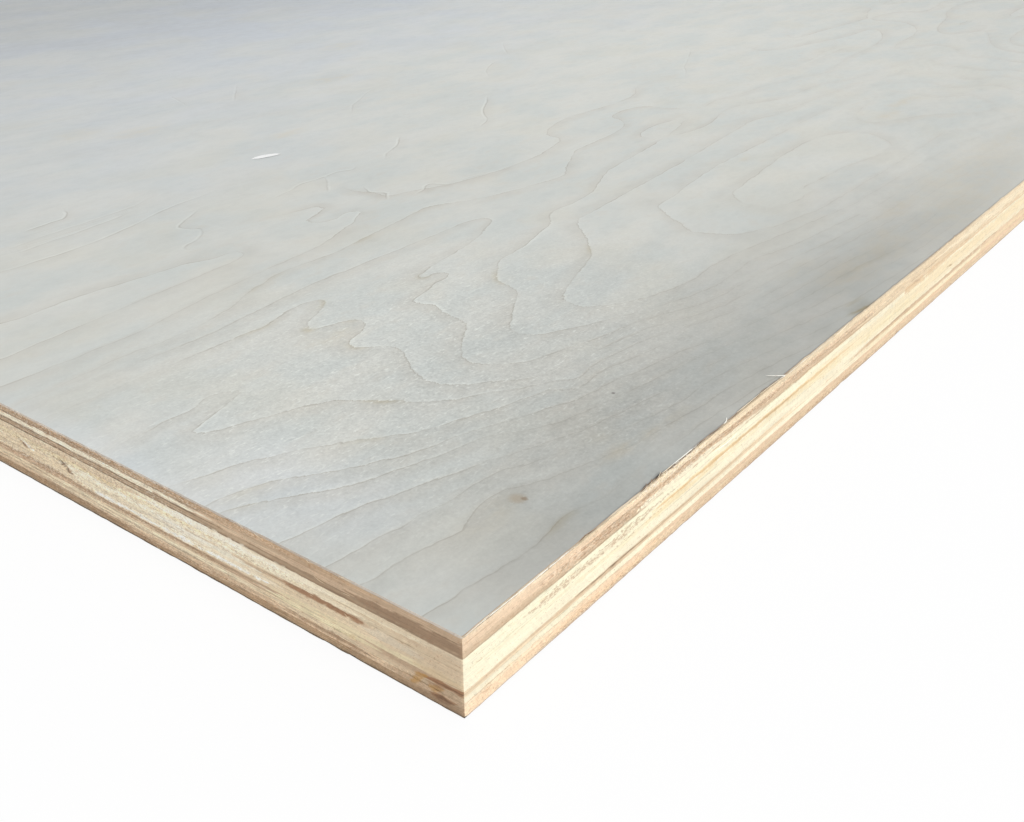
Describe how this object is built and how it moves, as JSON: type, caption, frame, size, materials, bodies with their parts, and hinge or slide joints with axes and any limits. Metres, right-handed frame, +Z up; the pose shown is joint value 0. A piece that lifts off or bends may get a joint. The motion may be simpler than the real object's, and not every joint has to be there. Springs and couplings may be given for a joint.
{
  "type": "plywood sheet",
  "caption": "Flat rectangular hardwood-faced plywood sheet with square sawn edges that show its crossed plies.",
  "frame": {"origin": "under the middle of the sheet, at the level of its underside", "axes": "+X along the length and the face grain, +Y across the width, +Z up out of the face"},
  "size_m": [2.44, 1.22, 0.018],
  "materials": {
    "face": "pale sanded hardwood veneer, rotary cut, unfinished",
    "back": "sanded hardwood back veneer, rotary cut, unfinished",
    "cream_core": "sawn long grain on the long edges, sawn end grain on the short edges",
    "tan_core": "sawn long grain on the long edges, sawn end grain on the short edges",
    "brown_core": "sawn long grain on the long edges, sawn end grain on the short edges",
    "cream_crossband": "sawn end grain on the long edges, sawn long grain on the short edges",
    "tan_crossband": "sawn end grain on the long edges, sawn long grain on the short edges",
    "brown_crossband": "sawn end grain on the long edges, sawn long grain on the short edges"
  },
  "bodies": {
    "root": {"face_veneer": "face", "crossband_1": "tan_crossband", "core_ply_1": "tan_core", "crossband_2": "brown_crossband", "core_ply_2": "cream_core", "crossband_3": "cream_crossband", "core_ply_3": "cream_core", "crossband_4": "cream_crossband", "core_ply_4": "brown_core", "crossband_5": "cream_crossband", "core_ply_5": "tan_core", "crossband_6": "brown_crossband", "back_veneer": "back"}
  },
  "joints": []
}
